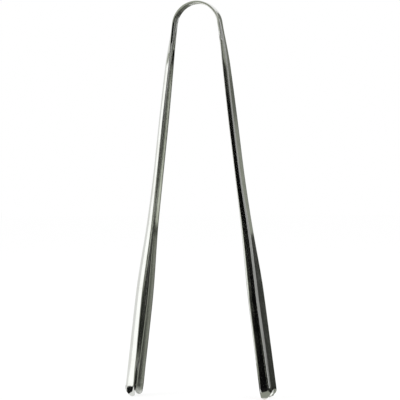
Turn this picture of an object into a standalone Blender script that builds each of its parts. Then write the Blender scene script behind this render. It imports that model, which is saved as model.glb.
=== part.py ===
"""One-piece spring ice tongs, pressed from a single strip of stainless sheet.

The strip is described once, by a guide line and by a cross-section that changes with the distance
below the crown. The guide line follows the inner face over the bow and then the rims of the arms.
Every zone of the strip is a length cut from that one surface, so neighbouring zones always match.
All sizes are in metres. X runs across the spread, Y is the depth and Z points up.
"""

import math

import bpy
import numpy as np

# Sheet, its cut edges and the clearance left between two zones of the strip. Down the jaws the
# outer corner of the edge is rolled over to the larger radius.
SHEET_THICKNESS = 0.0013
EDGE_RADIUS = 0.0003
ROLL_RADIUS = 0.00085
ZONE_CLEARANCE = 0.0003

# Guide line: a round bow, then two straight arms that lean outwards going down.
OVERALL_HEIGHT = 0.199
BOW_INNER_RADIUS = 0.0112
ARM_LEAN = math.radians(6.65)

# Outside width of the strip, along Y.
BOW_WIDTH = 0.0060
ARM_WIDTH = 0.0106
JAW_WIDTH = 0.0175
MOUTH_WIDTH = 0.0156

# Fold of the two long edges: bend angle, length of the bend and length of the flank after it.
ARM_FOLD_ANGLE = math.radians(74.0)
JAW_FOLD_ANGLE = math.radians(78.0)
BOW_BEND_LENGTH = 0.0013
ARM_BEND_LENGTH = 0.0012
JAW_BEND_LENGTH = 0.0034
BOW_FLANK_LENGTH = 0.0005
ARM_FLANK_LENGTH = 0.0013
JAW_FLANK_LENGTH = 0.0023
MOUTH_FLANK_LENGTH = 0.0032

# Stations, as drops below the crown of the bow.
FOLD_START = 0.003
SHOULDER = 0.034
ARM_FULL_WIDTH = 0.068
TROUGH_START = 0.078
JAW_START = 0.108
JAW_FULL_WIDTH = 0.152
JAW_FULL_DEPTH = 0.150

# Claws: the end of each jaw toes in, and a shallow notch parts its two flanks.
TOE_IN = 0.0017
TOE_LENGTH = 0.006
NOTCH_DEPTH = 0.0040
NOTCH_EDGE = 0.0008
NOTCH_RUN = 0.0077
CLAW_CORNER_RADIUS = 0.0012
CLAW_ZONE = 0.010

# The bow bends about a line at this angle from its crown, on the middle of the sheet.
HINGE_ANGLE = math.radians(45.0)

# Fineness of the mesh.
FLAT_STEPS = 2
BEND_STEPS = 5
FLANK_STEPS = 1
EDGE_STEPS = 3
CROWN_ROWS = 14
LEG_ROWS = 14
ARM_ROWS = 12
JAW_ROWS = 22
CLAW_ROWS = 8
SMOOTH_LIMIT = math.radians(35.0)
SMALLEST_FOLD = 1e-4

# Look of the polished stainless steel.
STEEL_COLOUR = (0.62, 0.63, 0.61, 1.0)
STEEL_ROUGHNESS = 0.16


def ease(value, start, end):
    """Rises smoothly from 0 at start to 1 at end."""
    share = np.clip((value - start) / (end - start), 0.0, 1.0)
    return share * share * (3.0 - 2.0 * share)


def bow_arc_length():
    """Length of one half of the bow along its inner face, down to the straight arm."""
    return BOW_INNER_RADIUS * (math.pi / 2 - ARM_LEAN)


def bow_centre_height():
    """Height of the bow's centre above the table."""
    return OVERALL_HEIGHT - SHEET_THICKNESS - BOW_INNER_RADIUS


def guide_line(along):
    """The guide line at a signed distance from the crown, positive on the right.

    Returns x, z and the outward normal's x and z, each shaped like along.
    """
    side = np.where(along < 0.0, -1.0, 1.0)
    distance = np.abs(along)
    turn = np.minimum(distance / BOW_INNER_RADIUS, math.pi / 2 - ARM_LEAN)
    straight = np.maximum(distance - bow_arc_length(), 0.0)
    x = BOW_INNER_RADIUS * np.sin(turn) + straight * math.sin(ARM_LEAN)
    z = bow_centre_height() + BOW_INNER_RADIUS * np.cos(turn) - straight * math.cos(ARM_LEAN)
    return side * x, z, side * np.sin(turn), np.cos(turn)


def along_at_drop(drop):
    """Distance along the guide line where an arm is this far below the crown."""
    arc_end = BOW_INNER_RADIUS * math.sin(ARM_LEAN)
    below = bow_centre_height() + arc_end - (OVERALL_HEIGHT - drop)
    return bow_arc_length() + below / math.cos(ARM_LEAN)


def section_sizes(drop, end_distance):
    """Sizes of the cross-section where the strip is this far below the crown.

    Returns half of the flat, the bend's length and angle, the flank's length, the total depth and
    the radius of the edge's outer corner.
    """
    width = BOW_WIDTH + (ARM_WIDTH - BOW_WIDTH) * ease(drop, 0.0, ARM_FULL_WIDTH)
    width = width + (JAW_WIDTH - ARM_WIDTH) * ease(drop, JAW_START, JAW_FULL_WIDTH)
    width = width + (MOUTH_WIDTH - JAW_WIDTH) * ease(drop, JAW_FULL_WIDTH, OVERALL_HEIGHT)
    toe = np.clip(1.0 - end_distance / TOE_LENGTH, 0.0, 1.0)
    half_width = width / 2 - TOE_IN * toe * toe
    folded = ease(drop, FOLD_START, SHOULDER)
    deepened = ease(drop, TROUGH_START, JAW_FULL_DEPTH)
    mouth = np.clip((drop - JAW_FULL_DEPTH) / (OVERALL_HEIGHT - JAW_FULL_DEPTH), 0.0, 1.0)
    angle = ARM_FOLD_ANGLE * folded + (JAW_FOLD_ANGLE - ARM_FOLD_ANGLE) * deepened
    angle = np.maximum(angle, SMALLEST_FOLD)
    bend = BOW_BEND_LENGTH + (ARM_BEND_LENGTH - BOW_BEND_LENGTH) * folded
    bend = bend + (JAW_BEND_LENGTH - ARM_BEND_LENGTH) * deepened
    flank = BOW_FLANK_LENGTH + (ARM_FLANK_LENGTH - BOW_FLANK_LENGTH) * folded
    flank = flank + (JAW_FLANK_LENGTH - ARM_FLANK_LENGTH) * deepened
    flank = flank + (MOUTH_FLANK_LENGTH - JAW_FLANK_LENGTH) * mouth
    radius = bend / angle
    middle_half = half_width - SHEET_THICKNESS / 2 * np.sin(angle)
    flat = middle_half - radius * np.sin(angle) - flank * np.cos(angle)
    depth = SHEET_THICKNESS / 2 * (1.0 + np.cos(angle))
    depth = depth + radius * (1.0 - np.cos(angle)) + flank * np.sin(angle)
    roll = EDGE_RADIUS + (ROLL_RADIUS - EDGE_RADIUS) * deepened
    return flat, bend, angle, flank, depth, roll


def section_ring():
    """The points round the cross-section, each as side, zone, share, face and corner.

    The zone and share place a point along the middle of the sheet: 0 is the flat, 1 the bend and
    2 the flank. Face is 1 on the outside and -1 on the inside. Corner is how far the point has
    turned round its corner of the cut edge, up to a quarter turn. The ring goes along the outside,
    round one edge, back along the inside and round the other edge.
    """
    half_face = [(0, step / FLAT_STEPS) for step in range(FLAT_STEPS)]
    half_face += [(1, step / BEND_STEPS) for step in range(BEND_STEPS)]
    half_face += [(2, step / FLANK_STEPS) for step in range(FLANK_STEPS + 1)]
    places = [(-1.0, zone, share) for zone, share in reversed(half_face[1:])]
    places += [(1.0, zone, share) for zone, share in half_face]
    outside = [(side, zone, share, 1.0, 0.0) for side, zone, share in places]
    inside = [(side, zone, share, -1.0, 0.0) for side, zone, share in reversed(places)]
    turns = [math.pi / 2 * step / EDGE_STEPS for step in range(1, EDGE_STEPS + 1)]
    edge = [(1.0, turn) for turn in turns]
    edge += [(-1.0, turn) for turn in reversed(turns)]
    right_edge = [(1.0, 2, 1.0, face, turn) for face, turn in edge]
    left_edge = [(-1.0, 2, 1.0, -face, turn) for face, turn in edge]
    return np.array(outside + right_edge + inside + left_edge), len(outside), len(edge)


def end_cut(ring):
    """How far short of the claws' ends the strip stops, for each point of the ring."""
    flat, bend, _, flank, _, roll = section_sizes(OVERALL_HEIGHT, 0.0)
    _, zone, share, face, corner = ring.T
    zone = zone.astype(int)
    edge_radius = np.where(face > 0.0, roll, EDGE_RADIUS)
    starts = np.array([0.0, flat, flat + bend])[zone]
    lengths = np.choose(zone, [flat, bend, flank - edge_radius])
    from_middle = starts + lengths * share + edge_radius * np.sin(corner)
    from_rim = np.maximum(flat + bend + flank - from_middle, 0.0)
    notch = NOTCH_DEPTH * ease(from_rim, NOTCH_EDGE, NOTCH_EDGE + NOTCH_RUN)
    into_corner = np.clip(CLAW_CORNER_RADIUS - from_rim, 0.0, CLAW_CORNER_RADIUS)
    rounding = CLAW_CORNER_RADIUS - np.sqrt(CLAW_CORNER_RADIUS**2 - into_corner**2)
    return notch + rounding


def strip_points(along, ring, strip_length):
    """World points of the strip for a grid of distances along it, one column for each ring point."""
    x, z, normal_x, normal_z = guide_line(along)
    drop = OVERALL_HEIGHT - z
    flat, bend, angle, flank, depth, roll = section_sizes(drop, strip_length - np.abs(along))
    side, zone, share, face, corner = ring.T
    half = SHEET_THICKNESS / 2
    edge_radius = np.where(face > 0.0, roll, EDGE_RADIUS)
    lift = face * (half - edge_radius * (1.0 - np.cos(corner)))
    turn = np.where(zone == 0, 0.0, np.where(zone == 1, share, 1.0)) * angle
    radius = bend / angle
    on_flank = (flank - edge_radius) * share + edge_radius * np.sin(corner)
    on_flank = np.where(zone == 2, on_flank, 0.0)
    across = np.where(zone == 0, flat * share, flat)
    across = across + radius * np.sin(turn) + on_flank * np.cos(turn) + lift * np.sin(turn)
    outward = depth - half - radius * (1.0 - np.cos(turn))
    outward = outward - on_flank * np.sin(turn) + lift * np.cos(turn)
    return np.stack([x + normal_x * outward, side * across, z + normal_z * outward], axis=-1)


def ring_faces(rows, ring_size):
    """Quads between neighbouring rows of ring points."""
    row, column = np.meshgrid(np.arange(rows - 1), np.arange(ring_size), indexing="ij")
    after = (column + 1) % ring_size
    quads = np.stack(
        [
            row * ring_size + column,
            (row + 1) * ring_size + column,
            (row + 1) * ring_size + after,
            row * ring_size + after,
        ],
        axis=-1,
    )
    return quads.reshape(-1, 4).tolist()


def end_faces(first, ring_size, face_size, edge_size):
    """Faces that close a row of ring points, facing against the direction of the rows."""
    outside = [first + step for step in range(face_size)]
    inside_start = face_size + edge_size
    inside = [first + inside_start + face_size - 1 - step for step in range(face_size)]
    faces = []
    for step in range(face_size - 1):
        faces.append([outside[step], outside[step + 1], inside[step + 1], inside[step]])
    right_edge = [first + face_size + step for step in range(edge_size)]
    left_edge = [first + inside_start + face_size + step for step in range(edge_size)]
    faces.append([outside[-1]] + right_edge + [inside[-1]])
    faces.append([inside[0]] + left_edge + [outside[0]])
    return faces


def steel_material(name):
    """Polished stainless steel for one zone of the strip."""
    material = bpy.data.materials.new(name)
    material.use_nodes = True
    shader = material.node_tree.nodes["Principled BSDF"]
    shader.inputs["Base Color"].default_value = STEEL_COLOUR
    shader.inputs["Metallic"].default_value = 1.0
    shader.inputs["Roughness"].default_value = STEEL_ROUGHNESS
    material.diffuse_color = STEEL_COLOUR
    return material


def add_zone(name, along, origin, strip_length):
    """Adds one zone of the strip as a closed solid.

    along is a row of distances, or a grid with one column for each point of the ring.
    origin is the world point that the zone turns about.
    """
    ring, face_size, edge_size = section_ring()
    grid = np.broadcast_to(along.reshape(len(along), -1), (len(along), len(ring)))
    points = strip_points(grid, ring, strip_length) - np.array(origin)
    rows = len(along)
    faces = ring_faces(rows, len(ring))
    faces += end_faces(0, len(ring), face_size, edge_size)
    last = end_faces((rows - 1) * len(ring), len(ring), face_size, edge_size)
    faces += [face[::-1] for face in last]
    mesh = bpy.data.meshes.new(name)
    mesh.from_pydata(points.reshape(-1, 3).tolist(), [], faces)
    mesh.validate()
    mesh.shade_smooth()
    mesh.set_sharp_from_angle(angle=SMOOTH_LIMIT)
    mesh.materials.append(steel_material(name + "_steel"))
    zone = bpy.data.objects.new(name, mesh)
    zone.location = origin
    bpy.context.scene.collection.objects.link(zone)
    return zone


def hinge_point(side):
    """World point of the line that one half of the bow bends about."""
    radius = BOW_INNER_RADIUS + SHEET_THICKNESS / 2
    x = side * radius * math.sin(HINGE_ANGLE)
    return (x, 0.0, bow_centre_height() + radius * math.cos(HINGE_ANGLE))


def measured_strip_length():
    """Half of the strip's length, chosen so that the claws just reach the table."""
    ring, _, _ = section_ring()
    guess = along_at_drop(OVERALL_HEIGHT)
    ends = guess - end_cut(ring)
    lowest = strip_points(ends.reshape(1, -1), ring, guess)[..., 2].min()
    return guess + lowest / math.cos(ARM_LEAN)


def zone_rows(start, end, rows):
    """Distances along the strip from start to end, drawn in by half a clearance at each."""
    return np.linspace(start + ZONE_CLEARANCE / 2, end - ZONE_CLEARANCE / 2, rows)


def jaw_grid(start, strip_length):
    """Distances for a jaw: even rows down to the claws, then rows that lead into the end's outline."""
    ring, _, _ = section_ring()
    claw_start = strip_length - CLAW_ZONE
    trough = np.linspace(start + ZONE_CLEARANCE / 2, claw_start, JAW_ROWS)
    trough = np.repeat(trough[:, None], len(ring), axis=1)
    share = np.arange(1, CLAW_ROWS + 1)[:, None] / CLAW_ROWS
    claw_end = strip_length - end_cut(ring)
    claws = claw_start + (claw_end - claw_start) * share
    return np.concatenate([trough, claws])


def build():
    """Builds every zone of the strip, from the crown down to the claws."""
    strip_length = measured_strip_length()
    crown_end = BOW_INNER_RADIUS * HINGE_ANGLE
    shoulder = along_at_drop(SHOULDER)
    jaw_start = along_at_drop(JAW_START)
    crown = zone_rows(-crown_end, crown_end, CROWN_ROWS + 1)
    add_zone("bow_crown", crown, (0.0, 0.0, 0.0), strip_length)
    for side, label in ((-1.0, "left"), (1.0, "right")):
        origin = hinge_point(side)
        order = int(side)
        leg = zone_rows(crown_end, shoulder, LEG_ROWS)
        arm = zone_rows(shoulder, jaw_start, ARM_ROWS)
        jaw = jaw_grid(jaw_start, strip_length)
        add_zone("bow_leg_" + label, side * leg[::order], origin, strip_length)
        add_zone("arm_" + label, side * arm[::order], origin, strip_length)
        add_zone("jaw_" + label, side * jaw[::order], origin, strip_length)


for leftover in list(bpy.data.objects):
    bpy.data.objects.remove(leftover)
build()
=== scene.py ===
"""One-piece spring ice tongs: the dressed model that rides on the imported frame."""

from __future__ import annotations

import logging
import math
from dataclasses import dataclass
from enum import Enum

import bpy
import numpy as np
from mathutils import Matrix, Vector

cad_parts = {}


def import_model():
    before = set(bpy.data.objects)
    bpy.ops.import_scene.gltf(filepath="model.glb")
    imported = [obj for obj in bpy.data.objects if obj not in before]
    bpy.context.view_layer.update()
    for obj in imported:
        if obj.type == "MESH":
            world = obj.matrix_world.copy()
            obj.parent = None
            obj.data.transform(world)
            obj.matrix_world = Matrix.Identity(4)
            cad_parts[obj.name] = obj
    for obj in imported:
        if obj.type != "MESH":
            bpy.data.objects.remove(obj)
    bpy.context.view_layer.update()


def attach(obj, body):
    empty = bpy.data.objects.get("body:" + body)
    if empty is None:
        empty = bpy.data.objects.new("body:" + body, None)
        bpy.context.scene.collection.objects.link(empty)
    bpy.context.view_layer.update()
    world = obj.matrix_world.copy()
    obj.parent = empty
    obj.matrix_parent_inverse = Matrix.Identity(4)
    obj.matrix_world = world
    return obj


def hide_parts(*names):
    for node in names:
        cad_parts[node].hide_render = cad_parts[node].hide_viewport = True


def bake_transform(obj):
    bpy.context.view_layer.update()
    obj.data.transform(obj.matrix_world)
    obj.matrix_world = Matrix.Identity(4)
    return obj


LOG = logging.getLogger("ice_tongs")
STRIP_MAP = "strip_map"
RIM_MASK = "rim_mask"
INSIDE_MASK = "inside_mask"
WHITE = (1.0, 1.0, 1.0)
OLIVE = (0.96, 1.0, 0.86)
WALL_RADIUS = 1.3
TABLE_HEIGHT = 0.0009


class Side(Enum):
    """The two halves of the strip, by the sign of their X."""

    LEFT = -1.0
    RIGHT = 1.0

    @property
    def word(self) -> str:
        """The side's name in lower case, as in the CAD nodes."""
        return self.name.lower()

    @property
    def body(self) -> str:
        """The CAD body that this half rides on."""
        return f"{self.word}_arm"


def ease(value: np.ndarray | float, start: float, end: float) -> np.ndarray:
    """Rises smoothly from 0 at start to 1 at end: share squared times three less twice the share.

    Args:
        value: Where to read the rise.
        start: The value at which it begins.
        end: The value at which it is complete.

    Returns:
        The rise, from 0 to 1, shaped like value.
    """
    share = np.clip((value - start) / (end - start), 0.0, 1.0)
    return share * share * (3.0 - 2.0 * share)


@dataclass(frozen=True)
class SectionSizes:
    """The cross-section's own sizes at one or many places along the strip."""

    flat: np.ndarray
    bend: np.ndarray
    angle: np.ndarray
    flank: np.ndarray
    depth: np.ndarray
    roll: np.ndarray


@dataclass(frozen=True)
class SectionRing:
    """Points round the cross-section, as shares of its flat, its bends and its flanks.

    Zone 0 is the flat, 1 the bend and 2 the flank. Face is 1 outside and -1 inside, and corner is
    how far a point has turned round its corner of the cut edge, from 0 to a quarter turn.
    """

    side: np.ndarray
    zone: np.ndarray
    share: np.ndarray
    face: np.ndarray
    corner: np.ndarray
    face_size: int
    edge_size: int

    @property
    def size(self) -> int:
        """The number of points in the ring."""
        return len(self.side)

    @property
    def rim(self) -> np.ndarray:
        """1 on the rounded cut edge, and 0 on the two faces of the sheet."""
        return (self.corner > 0.0).astype(float)

    @property
    def inside(self) -> np.ndarray:
        """1 on the inner face of the sheet, and 0 on the outer face and the rim."""
        return ((self.face < 0.0) & (self.corner == 0.0)).astype(float)


@dataclass(frozen=True)
class StripShape:
    """The pressed strip as one surface of two parameters: along its length and round its section.

    The guide line follows the inner face over the bow, then the rims of the two straight arms. The
    section stands on it, outwards: a flat back, two bends and two flanks, of sizes that change with
    the drop below the crown. Every field is in metres or radians and repeats the CAD's own value.
    The last field holds the steps of the ring that the solids are made with.
    """

    thickness: float = 0.0013
    edge_radius: float = 0.0003
    roll_radius: float = 0.00085
    height: float = 0.199
    bow_radius: float = 0.0112
    lean: float = math.radians(6.65)
    bow_width: float = 0.0060
    arm_width: float = 0.0106
    jaw_width: float = 0.0175
    mouth_width: float = 0.0156
    arm_fold: float = math.radians(74.0)
    jaw_fold: float = math.radians(78.0)
    bow_bend: float = 0.0013
    arm_bend: float = 0.0012
    jaw_bend: float = 0.0034
    bow_flank: float = 0.0005
    arm_flank: float = 0.0013
    jaw_flank: float = 0.0023
    mouth_flank: float = 0.0032
    fold_start: float = 0.003
    shoulder: float = 0.034
    arm_full: float = 0.068
    trough_start: float = 0.078
    jaw_start: float = 0.108
    jaw_full: float = 0.152
    trough_full: float = 0.150
    toe_in: float = 0.0017
    toe_length: float = 0.006
    notch_depth: float = 0.0040
    notch_edge: float = 0.0008
    notch_run: float = 0.0077
    claw_radius: float = 0.0012
    claw_zone: float = 0.010
    smallest_fold: float = 1e-4
    solid_steps: tuple[int, int, int, int] = (2, 5, 1, 3)

    @property
    def arc_length(self) -> float:
        """Length of half the bow along its inner face."""
        return self.bow_radius * (math.pi / 2 - self.lean)

    @property
    def centre_height(self) -> float:
        """Height of the bow's centre."""
        return self.height - self.thickness - self.bow_radius

    def guide_line(self, along: np.ndarray) -> tuple[np.ndarray, ...]:
        """The guide line: a circle of the bow's radius, then a straight line at the arms' lean.

        Args:
            along: Signed distances from the crown, positive on the right.

        Returns:
            X, Z and the outward normal's X and Z.
        """
        side = np.where(along < 0.0, -1.0, 1.0)
        distance = np.abs(along)
        turn = np.minimum(distance / self.bow_radius, math.pi / 2 - self.lean)
        straight = np.maximum(distance - self.arc_length, 0.0)
        x = self.bow_radius * np.sin(turn) + straight * math.sin(self.lean)
        z = self.centre_height + self.bow_radius * np.cos(turn) - straight * math.cos(self.lean)
        return side * x, z, side * np.sin(turn), np.cos(turn)

    def along_at_drop(self, drop: float) -> float:
        """Distance along the guide line where an arm is this far below the crown."""
        below = self.centre_height + self.bow_radius * math.sin(self.lean) - self.height + drop
        return self.arc_length + below / math.cos(self.lean)

    def sizes(self, drop: np.ndarray, to_end: np.ndarray) -> SectionSizes:
        """The section's sizes, as smooth rises between the named stations.

        Args:
            drop: Distances below the crown.
            to_end: Distances left to the ends of the claws, which toe in by a square law.

        Returns:
            The half flat, the bend's length and angle, the flank's length, the whole depth and the
            radius of the edge's outer corner.
        """
        width = self.bow_width + (self.arm_width - self.bow_width) * ease(drop, 0.0, self.arm_full)
        width = width + (self.jaw_width - self.arm_width) * ease(drop, self.jaw_start, self.jaw_full)
        width = width + (self.mouth_width - self.jaw_width) * ease(drop, self.jaw_full, self.height)
        toe = np.clip(1.0 - to_end / self.toe_length, 0.0, 1.0)
        half_width = width / 2 - self.toe_in * toe * toe
        folded = ease(drop, self.fold_start, self.shoulder)
        deepened = ease(drop, self.trough_start, self.trough_full)
        mouth = np.clip((drop - self.trough_full) / (self.height - self.trough_full), 0.0, 1.0)
        angle = self.arm_fold * folded + (self.jaw_fold - self.arm_fold) * deepened
        angle = np.maximum(angle, self.smallest_fold)
        bend = self.bow_bend + (self.arm_bend - self.bow_bend) * folded
        bend = bend + (self.jaw_bend - self.arm_bend) * deepened
        flank = self.bow_flank + (self.arm_flank - self.bow_flank) * folded
        flank = flank + (self.jaw_flank - self.arm_flank) * deepened
        flank = flank + (self.mouth_flank - self.jaw_flank) * mouth
        radius = bend / angle
        middle_half = half_width - self.thickness / 2 * np.sin(angle)
        flat = middle_half - radius * np.sin(angle) - flank * np.cos(angle)
        depth = self.thickness / 2 * (1.0 + np.cos(angle))
        depth = depth + radius * (1.0 - np.cos(angle)) + flank * np.sin(angle)
        roll = self.edge_radius + (self.roll_radius - self.edge_radius) * deepened
        return SectionSizes(flat, bend, angle, flank, depth, roll)

    def ring(self, flat_steps: int, bend_steps: int, flank_steps: int, edge_steps: int) -> SectionRing:
        """The ring along the outer face, round one edge, back along the inner face and round again.

        Args:
            flat_steps: Steps across half of the flat.
            bend_steps: Steps round each bend.
            flank_steps: Steps up each flank.
            edge_steps: Steps round each corner of the cut edge, which is a quarter circle.

        Returns:
            The ring's points.
        """
        zone = np.repeat([0.0, 1.0, 2.0], [flat_steps, bend_steps, flank_steps + 1])
        share = np.concatenate(
            [
                np.arange(flat_steps) / flat_steps,
                np.arange(bend_steps) / bend_steps,
                np.arange(flank_steps + 1) / flank_steps,
            ]
        )
        face_zone = np.concatenate([zone[:0:-1], zone])
        face_share = np.concatenate([share[:0:-1], share])
        face_side = np.repeat([-1.0, 1.0], [len(zone) - 1, len(zone)])
        face_size = len(face_zone)
        turn = np.linspace(0.0, math.pi / 2, edge_steps + 1)
        corner = np.concatenate([turn[1:], turn[:0:-1]])
        edge_face = np.repeat([1.0, -1.0], edge_steps)
        edge_size = len(corner)
        nothing = np.zeros(face_size)
        last = np.full(edge_size, 2.0)
        full = np.ones(edge_size)
        return SectionRing(
            side=np.concatenate([face_side, full, face_side[::-1], -full]),
            zone=np.concatenate([face_zone, last, face_zone[::-1], last]),
            share=np.concatenate([face_share, full, face_share[::-1], full]),
            face=np.concatenate([nothing + 1.0, edge_face, nothing - 1.0, -edge_face]),
            corner=np.concatenate([nothing, corner, nothing, corner]),
            face_size=face_size,
            edge_size=edge_size,
        )

    def across(self, ring: SectionRing, sizes: SectionSizes) -> np.ndarray:
        """Distance of each ring point from the middle of the strip, measured along the sheet.

        It is the whole length of the zones before the point's own, plus its share of its zone, plus
        the corner radius times the sine of the turn round the corner.

        Args:
            ring: The ring of points.
            sizes: The section's sizes there.

        Returns:
            One distance for each point, without its side's sign.
        """
        start = np.where(ring.zone == 0.0, 0.0, sizes.flat)
        start = start + np.where(ring.zone == 2.0, sizes.bend, 0.0)
        radius = np.where(ring.face > 0.0, sizes.roll, self.edge_radius)
        length = np.where(ring.zone == 0.0, sizes.flat, sizes.bend)
        length = np.where(ring.zone == 2.0, sizes.flank - radius, length)
        return start + length * ring.share + radius * np.sin(ring.corner)

    def end_cut(self, ring: SectionRing) -> np.ndarray:
        """How far short of the claws' tips the strip stops: a notch between rounded corners.

        The notch is a smooth rise with the distance from the rim, and each corner is the arc of a
        circle: its radius less the root of the radius squared less the remaining distance squared.

        Args:
            ring: The ring of points to cut.

        Returns:
            One distance for each point of the ring.
        """
        sizes = self.sizes(self.height, 0.0)
        whole = sizes.flat + sizes.bend + sizes.flank
        from_rim = np.maximum(whole - self.across(ring, sizes), 0.0)
        notch = self.notch_depth * ease(from_rim, self.notch_edge, self.notch_edge + self.notch_run)
        into_corner = np.clip(self.claw_radius - from_rim, 0.0, self.claw_radius)
        return notch + self.claw_radius - np.sqrt(self.claw_radius**2 - into_corner**2)

    def points(
        self, along: np.ndarray, ring: SectionRing, length: float, shrink: np.ndarray | float = 0.0
    ) -> np.ndarray:
        """Points of the strip: the guide line, plus the section's outward and sideways distances.

        Across, a point lies at the flat's share, then the bend's radius times the sine of its turn,
        then the flank's share times the cosine of the fold. Outwards, it lies at the depth, less
        the radius times one less the cosine of the turn, less the flank's share times the sine.

        Args:
            along: Distances along the strip, a grid with one column for each ring point.
            ring: The ring of points.
            length: Half of the strip's length.
            shrink: How much thinner and narrower than full the sheet is drawn, to round its end.

        Returns:
            A grid of points.
        """
        x, z, normal_x, normal_z = self.guide_line(along)
        sizes = self.sizes(self.height - z, length - np.abs(along))
        half = self.thickness / 2
        corner_radius = np.where(ring.face > 0.0, sizes.roll, self.edge_radius)
        lift = ring.face * (half - corner_radius * (1.0 - np.cos(ring.corner)))
        lift = lift * (half - shrink) / half
        reach = corner_radius * np.sin(ring.corner) - shrink
        turn = np.where(ring.zone == 0.0, 0.0, np.where(ring.zone == 1.0, ring.share, 1.0))
        turn = turn * sizes.angle
        radius = sizes.bend / sizes.angle
        on_flank = (sizes.flank - corner_radius) * ring.share + reach
        on_flank = np.where(ring.zone == 2.0, on_flank, 0.0)
        across = np.where(ring.zone == 0.0, sizes.flat * ring.share, sizes.flat)
        across = across + radius * np.sin(turn) + on_flank * np.cos(turn) + lift * np.sin(turn)
        outward = sizes.depth - half - radius * (1.0 - np.cos(turn))
        outward = outward - on_flank * np.sin(turn) + lift * np.cos(turn)
        world = [x + normal_x * outward, ring.side * across, z + normal_z * outward]
        return np.stack(world, axis=-1)

    def half_length(self) -> float:
        """Half of the strip's length, chosen so that the claws just reach the floor.

        It is measured on the solids' own coarse ring, so that both models are cut alike.

        Returns:
            The length from the crown to the tips of the claws.
        """
        ring = self.ring(*self.solid_steps)
        guess = self.along_at_drop(self.height)
        lowest = self.points((guess - self.end_cut(ring))[None, :], ring, guess)[..., 2].min()
        return guess + lowest / math.cos(self.lean)


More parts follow.
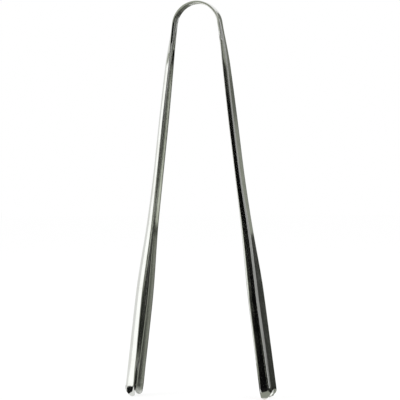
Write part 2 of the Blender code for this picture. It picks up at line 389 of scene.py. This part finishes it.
@dataclass(frozen=True)
class StripMesher:
    """Turns a stretch of the strip into a closed mesh with its own map and masks."""

    shape: StripShape
    length: float
    flat_steps: int = 6
    bend_steps: int = 14
    flank_steps: int = 8
    edge_steps: int = 5
    rounding_rows: int = 6
    end_rounding: float = 0.0005
    support_gap: float = 0.000004

    @property
    def ring(self) -> SectionRing:
        """The fine ring that every dressed piece of the strip shares."""
        return self.shape.ring(self.flat_steps, self.bend_steps, self.flank_steps, self.edge_steps)

    def even_rows(self, start: float, end: float, step: float) -> np.ndarray:
        """Distances from start to end, at about this step.

        A row close to each end keeps the flat end face from bending the shading beside it.

        Args:
            start: The first distance.
            end: The last distance.
            step: The step to aim at.

        Returns:
            The distances, increasing.
        """
        even = np.linspace(start, end, round((end - start) / step) + 1)
        return np.sort(np.append(even, [start + self.support_gap, end - self.support_gap]))

    def claw_rows(self, start: float, rows: int) -> tuple[np.ndarray, np.ndarray]:
        """Rows that lead from a straight start into the outline of the claws.

        Each column runs in even shares from the start to its own end. The last rows follow a
        quarter circle, along by its sine and thinner by one less its cosine, which rounds the cut.

        Args:
            start: The distance at which the rows begin to follow the outline.
            rows: The number of rows before the rounding.

        Returns:
            The distances, and how much the sheet shrinks at each row.
        """
        radius = self.end_rounding
        stop = self.length - self.shape.end_cut(self.ring)
        share = (np.arange(1, rows + 1) / rows)[:, None]
        plain = start + (stop - radius - start) * share
        turn = np.linspace(0.0, math.pi / 2, self.rounding_rows + 1)[1:, None]
        rounded = stop - radius + radius * np.sin(turn)
        shrink = np.concatenate([np.zeros((rows, 1)), radius * (1.0 - np.cos(turn))])
        return np.concatenate([plain, rounded]), shrink

    def faces(self, rows: int) -> tuple[np.ndarray, list[list[int]]]:
        """The quads between rows, and the faces that close the two ends.

        Args:
            rows: The number of rows.

        Returns:
            The quads, and the end faces as lists of point numbers.
        """
        ring = self.ring
        row, column = np.meshgrid(np.arange(rows - 1), np.arange(ring.size), indexing="ij")
        after = (column + 1) % ring.size
        first, second = row * ring.size, (row + 1) * ring.size
        quads = np.stack([first + column, second + column, second + after, first + after], axis=-1)
        near = self._end_faces(0)
        far = [face[::-1] for face in self._end_faces((rows - 1) * ring.size)]
        return quads.reshape(-1, 4), near + far

    def _end_faces(self, first: int) -> list[list[int]]:
        """Faces across the sheet that close one row of points, facing against the rows.

        Args:
            first: The number of the row's first point.

        Returns:
            A strip of quads over the sheet's thickness, and a face for each rounded edge.
        """
        face, edge = self.ring.face_size, self.ring.edge_size
        outer = first + np.arange(face)
        inner = first + 2 * face + edge - 1 - np.arange(face)
        strips = np.stack([outer[:-1], outer[1:], inner[1:], inner[:-1]], axis=-1).tolist()
        right = (first + face + np.arange(edge)).tolist()
        left = (first + 2 * face + edge + np.arange(edge)).tolist()
        strips.append([int(outer[-1]), *right, int(inner[-1])])
        strips.append([int(inner[0]), *left, int(outer[0])])
        return strips

    def mesh(self, name: str, along: np.ndarray, shrink: np.ndarray | float = 0.0) -> bpy.types.Mesh:
        """A closed mesh of the strip over these rows.

        Args:
            name: The mesh's name.
            along: Signed distances, increasing, with one row for each row of the mesh.
            shrink: How much the sheet shrinks at each row.

        Returns:
            The mesh, smooth but for its end faces, with a map in metres and two masks.
        """
        ring = self.ring
        grid = np.broadcast_to(along.reshape(len(along), -1), (len(along), ring.size))
        points = self.shape.points(grid, ring, self.length, shrink)
        quads, ends = self.faces(len(along))
        mesh = bpy.data.meshes.new(name)
        mesh.from_pydata(points.reshape(-1, 3).tolist(), [], quads.tolist() + ends)
        smooth = np.zeros(len(mesh.polygons), dtype=bool)
        smooth[: len(quads)] = True
        mesh.polygons.foreach_set("use_smooth", smooth)
        sizes = self.shape.sizes(self.shape.height - points[..., 2], self.length - np.abs(grid))
        across = ring.side * self.shape.across(ring, sizes)
        self._add_map(mesh, np.stack([across, grid], axis=-1).reshape(-1, 2))
        self._add_mask(mesh, RIM_MASK, np.broadcast_to(ring.rim, grid.shape))
        self._add_mask(mesh, INSIDE_MASK, np.broadcast_to(ring.inside, grid.shape))
        mesh.update()
        return mesh

    def _add_map(self, mesh: bpy.types.Mesh, values: np.ndarray) -> None:
        """Stores each point's place across and along the strip as the mesh's UV map.

        Args:
            mesh: The mesh.
            values: Two distances in metres for each point.
        """
        corners = np.empty(len(mesh.loops), dtype=np.int32)
        mesh.loops.foreach_get("vertex_index", corners)
        layer = mesh.uv_layers.new(name=STRIP_MAP)
        layer.uv.foreach_set("vector", values[corners].astype(np.float32).ravel())

    def _add_mask(self, mesh: bpy.types.Mesh, name: str, values: np.ndarray) -> None:
        """Stores one number for each point under this name."""
        layer = mesh.attributes.new(name, "FLOAT", "POINT")
        layer.data.foreach_set("value", values.astype(np.float32).ravel())


class GroupBuilder:
    """Builds a shader node group with named inputs and outputs."""

    def __init__(self, name: str) -> None:
        """Starts an empty group of this name."""
        self.tree = bpy.data.node_groups.new(name, "ShaderNodeTree")
        self.entry = self.tree.nodes.new("NodeGroupInput")
        self.exit = self.tree.nodes.new("NodeGroupOutput")

    def takes(self, name: str, kind: str, default: float | None = None) -> None:
        """Adds an input socket.

        Args:
            name: The socket's name.
            kind: Its type.
            default: Its value where nothing is linked, if it has one.
        """
        socket = self.tree.interface.new_socket(name, in_out="INPUT", socket_type=kind)
        if default is not None:
            socket.default_value = default

    def gives(self, name: str, kind: str) -> None:
        """Adds an output socket of this kind."""
        self.tree.interface.new_socket(name, in_out="OUTPUT", socket_type=kind)

    def node(self, kind: str, **values: object) -> bpy.types.Node:
        """Adds a node.

        Args:
            kind: The node's type.
            values: Attributes to set on it, by name.

        Returns:
            The node.
        """
        made = self.tree.nodes.new(kind)
        for key, value in values.items():
            setattr(made, key, value)
        return made

    def math(
        self,
        operation: str,
        first: bpy.types.NodeSocket | float,
        second: bpy.types.NodeSocket | float,
    ) -> bpy.types.NodeSocket:
        """Adds a Math node.

        Args:
            operation: The node's operation.
            first: A socket or a number for its first input.
            second: A socket or a number for its second input.

        Returns:
            The node's result.
        """
        made = self.node("ShaderNodeMath", operation=operation)
        for index, value in enumerate((first, second)):
            if isinstance(value, float):
                made.inputs[index].default_value = value
            else:
                self.tree.links.new(value, made.inputs[index])
        return made.outputs[0]

    def link(self, source: bpy.types.NodeSocket, target: bpy.types.NodeSocket) -> None:
        """Joins two sockets."""
        self.tree.links.new(source, target)


@dataclass(frozen=True)
class DrawnGrain:
    """Fine lines that run along the strip, left by rolling and polishing."""

    lines_per_metre: float = 9000.0
    lengths_per_metre: float = 70.0
    scales: tuple[float, ...] = (1.0, 0.31)
    detail: float = 3.0

    def group(self) -> bpy.types.NodeTree:
        """Builds the group that puts out the lines, as a value round one half.

        The map is stretched so that noise is long along the strip and narrow across it, and the
        noise at each scale is averaged.

        Returns:
            The node group.
        """
        made = GroupBuilder("drawn_grain")
        made.takes("Map", "NodeSocketVector")
        made.takes("Lines per metre", "NodeSocketFloat", self.lines_per_metre)
        made.takes("Lengths per metre", "NodeSocketFloat", self.lengths_per_metre)
        made.gives("Lines", "NodeSocketFloat")
        parts = made.node("ShaderNodeSeparateXYZ")
        made.link(made.entry.outputs["Map"], parts.inputs[0])
        lines = None
        for scale in self.scales:
            place = made.node("ShaderNodeCombineXYZ")
            across = made.math("MULTIPLY", made.entry.outputs["Lines per metre"], scale)
            along = made.math("MULTIPLY", made.entry.outputs["Lengths per metre"], scale)
            made.link(made.math("MULTIPLY", parts.outputs[0], across), place.inputs[0])
            made.link(made.math("MULTIPLY", parts.outputs[1], along), place.inputs[1])
            noise = made.node("ShaderNodeTexNoise")
            noise.inputs["Scale"].default_value = 1.0
            noise.inputs["Detail"].default_value = self.detail
            made.link(place.outputs[0], noise.inputs["Vector"])
            value = noise.outputs["Fac"]
            lines = value if lines is None else made.math("ADD", lines, value)
        average = made.math("MULTIPLY", lines, 1.0 / len(self.scales))
        made.link(average, made.exit.inputs["Lines"])
        return made.tree


@dataclass(frozen=True)
class HandlingMarks:
    """Soft smudges and short hairline scratches, as from washing and use."""

    smudges_per_metre: float = 120.0
    scratches_per_metre: float = 500.0
    smudge_detail: float = 4.0
    smudge_start: float = 0.42
    smudge_full: float = 0.68
    scratch_stretch: tuple[float, float, float] = (1.0, 0.8, 0.16)
    scratch_turn: tuple[float, float, float] = (0.3, 0.4, 0.0)
    scratch_width: float = 0.012

    def group(self) -> bpy.types.NodeTree:
        """Builds the group that puts out smudges and scratches, each from 0 to 1.

        Smudges are broad noise, sharpened. Scratches are the thin walls of stretched cells, where
        there are smudges.

        Returns:
            The node group.
        """
        made = GroupBuilder("handling_marks")
        made.takes("Place", "NodeSocketVector")
        made.takes("Smudges per metre", "NodeSocketFloat", self.smudges_per_metre)
        made.takes("Scratches per metre", "NodeSocketFloat", self.scratches_per_metre)
        made.gives("Smudges", "NodeSocketFloat")
        made.gives("Scratches", "NodeSocketFloat")
        smudge = made.node("ShaderNodeTexNoise")
        smudge.inputs["Detail"].default_value = self.smudge_detail
        made.link(made.entry.outputs["Place"], smudge.inputs["Vector"])
        made.link(made.entry.outputs["Smudges per metre"], smudge.inputs["Scale"])
        ramp = made.node("ShaderNodeMapRange")
        ramp.inputs["From Min"].default_value = self.smudge_start
        ramp.inputs["From Max"].default_value = self.smudge_full
        made.link(smudge.outputs["Fac"], ramp.inputs["Value"])
        made.link(ramp.outputs["Result"], made.exit.inputs["Smudges"])
        cells = made.node("ShaderNodeTexVoronoi", feature="DISTANCE_TO_EDGE")
        stretch = made.node("ShaderNodeMapping")
        stretch.inputs["Scale"].default_value = self.scratch_stretch
        stretch.inputs["Rotation"].default_value = self.scratch_turn
        made.link(made.entry.outputs["Place"], stretch.inputs["Vector"])
        made.link(stretch.outputs["Vector"], cells.inputs["Vector"])
        made.link(made.entry.outputs["Scratches per metre"], cells.inputs["Scale"])
        thin = made.node("ShaderNodeMapRange")
        thin.inputs["From Min"].default_value = self.scratch_width
        thin.inputs["From Max"].default_value = 0.0
        made.link(cells.outputs["Distance"], thin.inputs["Value"])
        worn = made.math("MULTIPLY", thin.outputs["Result"], ramp.outputs["Result"])
        made.link(worn, made.exit.inputs["Scratches"])
        return made.tree


@dataclass(frozen=True)
class StainlessFinish:
    """Polished stainless steel: bright outside, satin inside, with a buffed rim."""

    name: str
    colour: tuple[float, float, float, float] = (0.66, 0.67, 0.645, 1.0)
    outside_roughness: float = 0.08
    inside_roughness: float = 0.14
    rim_roughness: float = 0.08
    grain_depth: float = 0.000002
    grain_roughness: float = 0.04
    smudge_roughness: float = 0.05
    smudge_tint: tuple[float, float, float] = (0.95, 0.945, 0.93)
    scratch_height: float = -0.5
    bump_strength: float = 0.35

    def material(self, grain: bpy.types.NodeTree, marks: bpy.types.NodeTree) -> bpy.types.Material:
        """The finish as a material.

        Args:
            grain: The group that draws fine lines along the strip.
            marks: The group that draws smudges and scratches.

        Returns:
            A new material.
        """
        material = bpy.data.materials.new(self.name)
        material.use_nodes = True
        tree = material.node_tree
        shader = tree.nodes["Principled BSDF"]
        shader.inputs["Metallic"].default_value = 1.0
        place = tree.nodes.new("ShaderNodeTexCoord")
        strip = tree.nodes.new("ShaderNodeUVMap")
        strip.uv_map = STRIP_MAP
        lines = tree.nodes.new("ShaderNodeGroup")
        lines.node_tree = grain
        tree.links.new(strip.outputs["UV"], lines.inputs["Map"])
        wear = tree.nodes.new("ShaderNodeGroup")
        wear.node_tree = marks
        tree.links.new(place.outputs["Object"], wear.inputs["Place"])
        self._wire_colour(tree, shader, wear)
        self._wire_roughness(tree, shader, lines, wear)
        self._wire_bump(tree, shader, lines, wear)
        return material

    @staticmethod
    def _mask(tree: bpy.types.NodeTree, name: str) -> bpy.types.NodeSocket:
        """One of the strip's own masks."""
        mask = tree.nodes.new("ShaderNodeAttribute")
        mask.attribute_name = name
        return mask.outputs["Fac"]

    @staticmethod
    def _sum(
        tree: bpy.types.NodeTree,
        first: bpy.types.NodeSocket | float,
        second: bpy.types.NodeSocket,
        share: float,
    ) -> bpy.types.NodeSocket:
        """The first value plus a share of the second.

        Args:
            tree: The material's node tree.
            first: A socket or a number.
            second: The socket whose share is added.
            share: The share.

        Returns:
            The sum's socket.
        """
        made = tree.nodes.new("ShaderNodeMath")
        made.operation = "MULTIPLY_ADD"
        tree.links.new(second, made.inputs[0])
        made.inputs[1].default_value = share
        if isinstance(first, float):
            made.inputs[2].default_value = first
        else:
            tree.links.new(first, made.inputs[2])
        return made.outputs[0]

    def _wire_colour(
        self, tree: bpy.types.NodeTree, shader: bpy.types.Node, wear: bpy.types.Node
    ) -> None:
        """Makes the colour a little darker and warmer where it is smudged.

        Args:
            tree: The material's node tree.
            shader: Its Principled node.
            wear: Its node of smudges and scratches.
        """
        mix = tree.nodes.new("ShaderNodeMix")
        mix.data_type = "RGBA"
        smudged = [part * tint for part, tint in zip(self.colour, self.smudge_tint)]
        mix.inputs["A"].default_value = self.colour
        mix.inputs["B"].default_value = (*smudged, 1.0)
        tree.links.new(wear.outputs["Smudges"], mix.inputs["Factor"])
        tree.links.new(mix.outputs["Result"], shader.inputs["Base Color"])

    def _wire_roughness(
        self,
        tree: bpy.types.NodeTree,
        shader: bpy.types.Node,
        lines: bpy.types.Node,
        wear: bpy.types.Node,
    ) -> None:
        """Sums the roughness of the face, the inner face, the rim, the lines and the smudges.

        Args:
            tree: The material's node tree.
            shader: Its Principled node.
            lines: Its node of fine lines.
            wear: Its node of smudges and scratches.
        """
        inside = self._mask(tree, INSIDE_MASK)
        rim = self._mask(tree, RIM_MASK)
        total = self._sum(
            tree, self.outside_roughness, inside, self.inside_roughness - self.outside_roughness
        )
        total = self._sum(tree, total, rim, self.rim_roughness - self.outside_roughness)
        total = self._sum(tree, total, lines.outputs["Lines"], self.grain_roughness)
        total = self._sum(tree, total, wear.outputs["Smudges"], self.smudge_roughness)
        total = self._sum(tree, total, wear.outputs["Scratches"], self.smudge_roughness)
        tree.links.new(total, shader.inputs["Roughness"])

    def _wire_bump(
        self,
        tree: bpy.types.NodeTree,
        shader: bpy.types.Node,
        lines: bpy.types.Node,
        wear: bpy.types.Node,
    ) -> None:
        """Raises the fine lines and sinks the scratches.

        Args:
            tree: The material's node tree.
            shader: Its Principled node.
            lines: Its node of fine lines.
            wear: Its node of smudges and scratches.
        """
        scratches = wear.outputs["Scratches"]
        height = self._sum(tree, lines.outputs["Lines"], scratches, self.scratch_height)
        bump = tree.nodes.new("ShaderNodeBump")
        bump.inputs["Strength"].default_value = self.bump_strength
        bump.inputs["Distance"].default_value = self.grain_depth
        tree.links.new(height, bump.inputs["Height"])
        tree.links.new(bump.outputs["Normal"], shader.inputs["Normal"])


@dataclass(frozen=True)
class BowHalf:
    """One half of the springy bow, from the crown to the shoulder of its arm."""

    side: Side
    row_step: float = 0.00028
    blend_below_crown: float = 0.0155

    def build(self, mesher: StripMesher, finish: bpy.types.Material) -> bpy.types.Object:
        """Builds this half of the bow, from the crown to the shoulder of its arm.

        Args:
            mesher: The strip's mesher.
            finish: The steel it is made of.

        Returns:
            The finished piece.
        """
        name = f"bow_spring_{self.side.word}"
        shape = mesher.shape
        rows = mesher.even_rows(0.0, shape.along_at_drop(shape.shoulder), self.row_step)
        piece = add_piece(name, mesher.mesh(name, signed(rows, self.side)), finish)
        nodes = [f"bow_leg_{self.side.word}"]
        if self.side is Side.LEFT:
            nodes.append("bow_crown")
        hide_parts(*nodes)
        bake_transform(piece)
        return piece


@dataclass(frozen=True)
class Arm:
    """The straight channel between the shoulder and the jaw, which the hand squeezes."""

    side: Side
    row_step: float = 0.0010

    def build(self, mesher: StripMesher, finish: bpy.types.Material) -> bpy.types.Object:
        """Builds the arm, which rides on its own body.

        Args:
            mesher: The strip's mesher.
            finish: The steel it is made of.

        Returns:
            The finished piece.
        """
        name = f"arm_channel_{self.side.word}"
        shape = mesher.shape
        start, end = shape.along_at_drop(shape.shoulder), shape.along_at_drop(shape.jaw_start)
        rows = mesher.even_rows(start, end, self.row_step)
        piece = add_piece(name, mesher.mesh(name, signed(rows, self.side)), finish)
        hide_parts(f"arm_{self.side.word}")
        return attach(piece, self.side.body)


@dataclass(frozen=True)
class Jaw:
    """The trough-shaped jaw, which ends in two blunt claws with a notch between them."""

    side: Side
    row_step: float = 0.0009
    claw_row_count: int = 24

    def build(self, mesher: StripMesher, finish: bpy.types.Material) -> bpy.types.Object:
        """Builds the jaw, which rides on its arm's body.

        Args:
            mesher: The strip's mesher.
            finish: The steel it is made of.

        Returns:
            The finished piece.
        """
        name = f"jaw_trough_{self.side.word}"
        shape = mesher.shape
        claw_start = mesher.length - shape.claw_zone
        trough = mesher.even_rows(shape.along_at_drop(shape.jaw_start), claw_start, self.row_step)
        trough = np.repeat(trough[:, None], mesher.ring.size, axis=1)
        claws, claw_shrink = mesher.claw_rows(claw_start, self.claw_row_count)
        rows = signed(np.concatenate([trough, claws]), self.side)
        shrink = np.concatenate([np.zeros((len(trough), 1)), claw_shrink])
        if self.side is Side.LEFT:
            shrink = shrink[::-1]
        piece = add_piece(name, mesher.mesh(name, rows, shrink), finish)
        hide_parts(f"jaw_{self.side.word}")
        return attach(piece, self.side.body)


def signed(rows: np.ndarray, side: Side) -> np.ndarray:
    """The same rows on this side of the crown, still in increasing order."""
    return rows if side is Side.RIGHT else -rows[::-1]


def add_piece(name: str, mesh: bpy.types.Mesh, finish: bpy.types.Material) -> bpy.types.Object:
    """Adds a finished piece at the origin, with its material.

    Args:
        name: The piece's name.
        mesh: Its mesh, in place.
        finish: Its material.

    Returns:
        The new object.
    """
    mesh.materials.append(finish)
    piece = bpy.data.objects.new(name, mesh)
    bpy.context.scene.collection.objects.link(piece)
    return piece


@dataclass(frozen=True)
class Card:
    """A studio card that only the steel's reflections see: part of a band round the object.

    Azimuths are in degrees from the front, positive to the right. Each rim is a radius and a
    height in metres, so a band between two radii at one height lies flat on the floor.
    """

    name: str
    first: float
    last: float
    inner: tuple[float, float]
    outer: tuple[float, float]
    brightness: float
    tint: tuple[float, float, float] = WHITE
    steps: int = 64

    @classmethod
    def wall(
        cls,
        name: str,
        azimuths: tuple[float, float],
        heights: tuple[float, float],
        brightness: float,
        tint: tuple[float, float, float] = WHITE,
        radius: float = WALL_RADIUS,
    ) -> Card:
        """An upright card.

        Args:
            name: The card's name.
            azimuths: The azimuths of its two sides.
            heights: The heights of its lower and its upper rim.
            brightness: How bright it looks, where 1 is white.
            tint: Its colour.
            radius: Its distance from the object's axis.

        Returns:
            The card.
        """
        low, high = heights
        return cls(name, *azimuths, (radius, low), (radius, high), brightness, tint)

    @classmethod
    def table(
        cls,
        name: str,
        azimuths: tuple[float, float],
        radii: tuple[float, float],
        brightness: float,
        tint: tuple[float, float, float] = WHITE,
    ) -> Card:
        """A card that lies just above the floor.

        Args:
            name: The card's name.
            azimuths: The azimuths of its two sides.
            radii: The radii of its inner and its outer rim.
            brightness: How bright it looks, where 1 is white.
            tint: Its colour.

        Returns:
            The card.
        """
        near, far = radii
        rims = (near, TABLE_HEIGHT), (far, TABLE_HEIGHT)
        return cls(name, *azimuths, *rims, brightness, tint)

    def build(self) -> bpy.types.Object:
        """Builds the card between its two rims.

        A point lies at the rim's radius times the sine and the negative cosine of its azimuth, and
        at the rim's height.

        Returns:
            The card.
        """
        turn = np.radians(np.linspace(self.first, self.last, self.steps + 1))[:, None]
        radius, height = np.array([self.inner, self.outer]).T
        height = np.broadcast_to(height, (len(turn), 2))
        points = np.stack([radius * np.sin(turn), -radius * np.cos(turn), height], axis=-1)
        first = 2 * np.arange(self.steps)
        quads = np.stack([first, first + 1, first + 3, first + 2], axis=-1)
        mesh = bpy.data.meshes.new(self.name)
        mesh.from_pydata(points.reshape(-1, 3).tolist(), [], quads.tolist())
        mesh.materials.append(glow(self.name, self.brightness, self.tint))
        card = bpy.data.objects.new(self.name, mesh)
        card.visible_camera = False
        card.visible_diffuse = False
        card.visible_shadow = False
        card.visible_transmission = False
        bpy.context.scene.collection.objects.link(card)
        return card


def glow(name: str, brightness: float, tint: tuple[float, float, float]) -> bpy.types.Material:
    """A plain material of this even brightness, for a studio card.

    Args:
        name: The material's name.
        brightness: How bright it looks, where 1 is white.
        tint: Its colour.

    Returns:
        A new material.
    """
    material = bpy.data.materials.new(name)
    material.use_nodes = True
    tree = material.node_tree
    tree.nodes.clear()
    light = tree.nodes.new("ShaderNodeEmission")
    light.inputs["Color"].default_value = (*tint, 1.0)
    light.inputs["Strength"].default_value = brightness
    out = tree.nodes.new("ShaderNodeOutputMaterial")
    tree.links.new(light.outputs[0], out.inputs["Surface"])
    return material


@dataclass(frozen=True)
class Studio:
    """A pale floor, a pale surround, soft lamps, and cards that the steel reflects."""

    floor_half: float = 6.0
    floor_white: float = 0.975
    floor_glow: float = 0.8
    lamp_size: float = 0.9
    lamp_aim: tuple[float, float, float] = (0.0, 0.0, 0.1)
    key_place: tuple[float, float, float] = (-0.9, -1.0, 1.3)
    key_power: float = 9.0
    fill_place: tuple[float, float, float] = (1.1, -0.6, 1.2)
    fill_power: float = 4.5
    cards: tuple[Card, ...] = (
        Card.wall("left_softbox", (-54.0, -19.2), (0.0, 1.3), 1.5),
        Card.table("left_table", (-54.0, -36.0), (0.2, 1.3), 1.5),
        Card.table("left_middle_table", (-36.0, -19.2), (0.13, 1.3), 1.5),
        Card.table("left_near_table", (-72.0, -36.0), (0.058, 0.2), 1.5),
        Card.table("left_claw_patch", (-82.0, -60.0), (0.037, 0.058), 0.01),
        Card.wall("front_post", (-19.2, -17.3), (0.0, 0.8), 0.01),
        Card.wall("front_flag", (-17.3, 79.0), (0.0, 0.2), 0.004),
        Card.wall("front_glow", (-17.3, 2.0), (0.2, 0.52), 0.33, OLIVE),
        Card.wall("front_middle_flag", (2.0, 79.0), (0.2, 0.52), 0.004),
        Card.wall("front_high_glow", (-17.3, 79.0), (0.52, 0.8), 0.36, OLIVE),
        Card.wall("bow_glow", (-75.0, -14.0), (0.187, 0.26), 0.45, OLIVE, radius=0.1),
        Card.table("front_table", (-17.0, 50.0), (0.13, 1.3), 0.004),
        Card.table("right_claw_patch", (15.0, 70.0), (0.036, 0.065), 0.01),
        Card.table("front_near_table", (15.0, 50.0), (0.065, 0.13), 0.004),
        Card.table("centre_table", (-36.0, 15.0), (0.028, 0.13), 0.36, OLIVE),
        Card.table("centre_left_table", (-60.0, -36.0), (0.028, 0.058), 0.36, OLIVE),
        Card.table("centre_shade", (-180.0, 180.0), (0.0, 0.028), 0.02, OLIVE),
        Card.table("front_right_table", (50.0, 79.0), (0.065, 0.45), 0.02),
        Card.table("front_right_far_table", (50.0, 79.0), (0.45, 1.3), 0.5, OLIVE),
        Card.wall("left_arm_fill", (-8.0, 11.0), (0.045, 0.14), 0.85, OLIVE, radius=0.25),
        Card.wall("left_jaw_fill", (-15.0, 22.0), (0.004, 0.055), 0.32, OLIVE, radius=0.1),
        Card.wall("right_strip", (82.0, 142.0), (0.06, 0.9), 0.42),
        Card.table("right_claw_glow", (70.0, 150.0), (0.028, 0.05), 0.38, OLIVE),
        Card.table("right_claw_side", (70.0, 79.0), (0.05, 0.065), 0.10, OLIVE),
        Card.table("right_table", (79.0, 150.0), (0.05, 0.45), 0.02, OLIVE),
        Card.table("right_mid_table", (79.0, 150.0), (0.45, 0.72), 0.6, OLIVE),
        Card.table("right_far_table", (92.0, 150.0), (0.72, 1.3), 0.05, OLIVE),
        Card.wall("right_low_flag", (92.0, 150.0), (0.0, 0.06), 0.06, OLIVE),
        Card.wall("back_window", (150.0, 176.0), (0.0, 0.13), 0.62),
        Card.wall("back_middle", (150.0, 176.0), (0.13, 0.27), 0.37, OLIVE),
        Card.wall("back_high_flag", (150.0, 176.0), (0.27, 0.8), 0.21, OLIVE),
        Card.wall("back_left_window", (176.0, 212.0), (0.0, 0.25), 0.42, OLIVE),
        Card.wall("near_back_flag", (140.0, 163.0), (0.0, 0.1), 0.04, OLIVE, radius=0.3),
        Card.wall("near_bow_flag", (162.0, 178.0), (0.1, 0.195), 0.05, OLIVE, radius=0.3),
        Card.table("back_table", (150.0, 260.0), (0.028, 0.09), 0.03, OLIVE),
        Card.table("back_middle_table", (150.0, 190.0), (0.09, 0.5), 0.04, OLIVE),
        Card.table("back_far_table", (164.0, 190.0), (0.5, 0.75), 0.16, OLIVE),
        Card.table("back_left_table", (176.0, 212.0), (0.75, 1.3), 0.30, OLIVE),
    )

    def build(self) -> None:
        """Builds the world, the floor, the cards and the lamps."""
        self._world()
        self._floor()
        for card in self.cards:
            card.build()
        self._lamp("key_lamp", self.key_place, self.key_power)
        self._lamp("fill_lamp", self.fill_place, self.fill_power)

    def _world(self) -> None:
        """White all round, at a strength of 1, which is also the soft fill light."""
        world = bpy.data.worlds.new("pale_surround")
        bpy.context.scene.world = world
        world.use_nodes = True
        tree = world.node_tree
        tree.nodes.clear()
        white = tree.nodes.new("ShaderNodeBackground")
        white.inputs["Color"].default_value = (*WHITE, 1.0)
        white.inputs["Strength"].default_value = 1.0
        out = tree.nodes.new("ShaderNodeOutputWorld")
        tree.links.new(white.outputs[0], out.inputs["Surface"])

    def _floor(self) -> None:
        """A flat pale floor that looks white and keeps the object's shadow."""
        half = self.floor_half
        corners = [(-half, -half, 0.0), (half, -half, 0.0), (half, half, 0.0), (-half, half, 0.0)]
        mesh = bpy.data.meshes.new("floor")
        mesh.from_pydata(corners, [], [(0, 1, 2, 3)])
        material = bpy.data.materials.new("pale_floor")
        material.use_nodes = True
        tree = material.node_tree
        tree.nodes.clear()
        matt = tree.nodes.new("ShaderNodeBsdfDiffuse")
        matt.inputs["Color"].default_value = (*[self.floor_white] * 3, 1.0)
        white = tree.nodes.new("ShaderNodeEmission")
        white.inputs["Strength"].default_value = 1.0
        seen = white_ray_mask(tree)
        share = tree.nodes.new("ShaderNodeMath")
        share.operation = "MULTIPLY"
        share.inputs[1].default_value = self.floor_glow
        mix = tree.nodes.new("ShaderNodeMixShader")
        out = tree.nodes.new("ShaderNodeOutputMaterial")
        tree.links.new(seen, share.inputs[0])
        tree.links.new(share.outputs[0], mix.inputs[0])
        tree.links.new(matt.outputs[0], mix.inputs[1])
        tree.links.new(white.outputs[0], mix.inputs[2])
        tree.links.new(mix.outputs[0], out.inputs["Surface"])
        mesh.materials.append(material)
        floor = bpy.data.objects.new("floor", mesh)
        bpy.context.scene.collection.objects.link(floor)

    def _lamp(self, name: str, place: tuple[float, float, float], power: float) -> None:
        """Adds a soft square lamp that points at the object.

        Args:
            name: The lamp's name.
            place: Where it stands.
            power: Its power in watts.
        """
        light = bpy.data.lights.new(name, "AREA")
        light.energy = power
        light.size = self.lamp_size
        lamp = bpy.data.objects.new(name, light)
        lamp.location = place
        aim = Vector(self.lamp_aim) - Vector(place)
        lamp.rotation_euler = aim.to_track_quat("-Z", "Y").to_euler()
        lamp.visible_glossy = False
        bpy.context.scene.collection.objects.link(lamp)


def white_ray_mask(tree: bpy.types.NodeTree) -> bpy.types.NodeSocket:
    """1 for the camera's, the reflections' and the transmitted rays, and 0 for the rest.

    Args:
        tree: The node tree that needs the mask.

    Returns:
        The mask's socket.
    """
    path = tree.nodes.new("ShaderNodeLightPath")
    total = path.outputs["Is Camera Ray"]
    for name in ("Is Glossy Ray", "Is Transmission Ray"):
        added = tree.nodes.new("ShaderNodeMath")
        added.operation = "MAXIMUM"
        tree.links.new(total, added.inputs[0])
        tree.links.new(path.outputs[name], added.inputs[1])
        total = added.outputs[0]
    return total


@dataclass(frozen=True)
class PhotoCamera:
    """A long lens at the photograph's angle: a little to the right, level with the arms."""

    azimuth: float = math.radians(17.0)
    distance: float = 0.95
    height: float = 0.105
    roll: float = math.radians(-0.5)
    focal_pixels: float = 1890.0
    frame_pixels: float = 400.0
    sensor_width: float = 36.0
    clip_range: tuple[float, float] = (0.01, 50.0)
    aim_right: float = 0.00055
    aim_height: float = 0.0990

    def build(self) -> bpy.types.Object:
        """Adds the camera and makes it the scene's own.

        Returns:
            The camera.
        """
        right = Vector((math.cos(self.azimuth), math.sin(self.azimuth), 0.0))
        place = Vector(
            (
                self.distance * math.sin(self.azimuth),
                -self.distance * math.cos(self.azimuth),
                self.height,
            )
        )
        aim = Vector((0.0, 0.0, self.aim_height)) + right * self.aim_right
        lens = bpy.data.cameras.new("photo_camera")
        lens.sensor_width = self.sensor_width
        lens.lens = self.sensor_width * self.focal_pixels / self.frame_pixels
        lens.clip_start, lens.clip_end = self.clip_range
        camera = bpy.data.objects.new("photo_camera", lens)
        turn = (aim - place).to_track_quat("-Z", "Y").to_matrix().to_4x4()
        camera.matrix_world = Matrix.Translation(place) @ turn @ Matrix.Rotation(self.roll, 4, "Z")
        bpy.context.scene.collection.objects.link(camera)
        bpy.context.scene.camera = camera
        return camera


def main() -> None:
    """Builds the tongs, the studio and the camera, and logs each piece's face count."""
    logging.basicConfig(level=logging.INFO, format="%(name)s: %(message)s")
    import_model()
    shape = StripShape()
    mesher = StripMesher(shape, shape.half_length())
    finish = StainlessFinish("polished_stainless")
    steel = finish.material(DrawnGrain().group(), HandlingMarks().group())
    for side in Side:
        for part in (BowHalf(side), Arm(side), Jaw(side)):
            piece = part.build(mesher, steel)
            LOG.info("built %s with %d faces", piece.name, len(piece.data.polygons))
    Studio().build()
    PhotoCamera().build()
    bpy.context.scene.view_settings.view_transform = "Standard"
    LOG.info("sizes written")


if __name__ == "__main__":
    main()
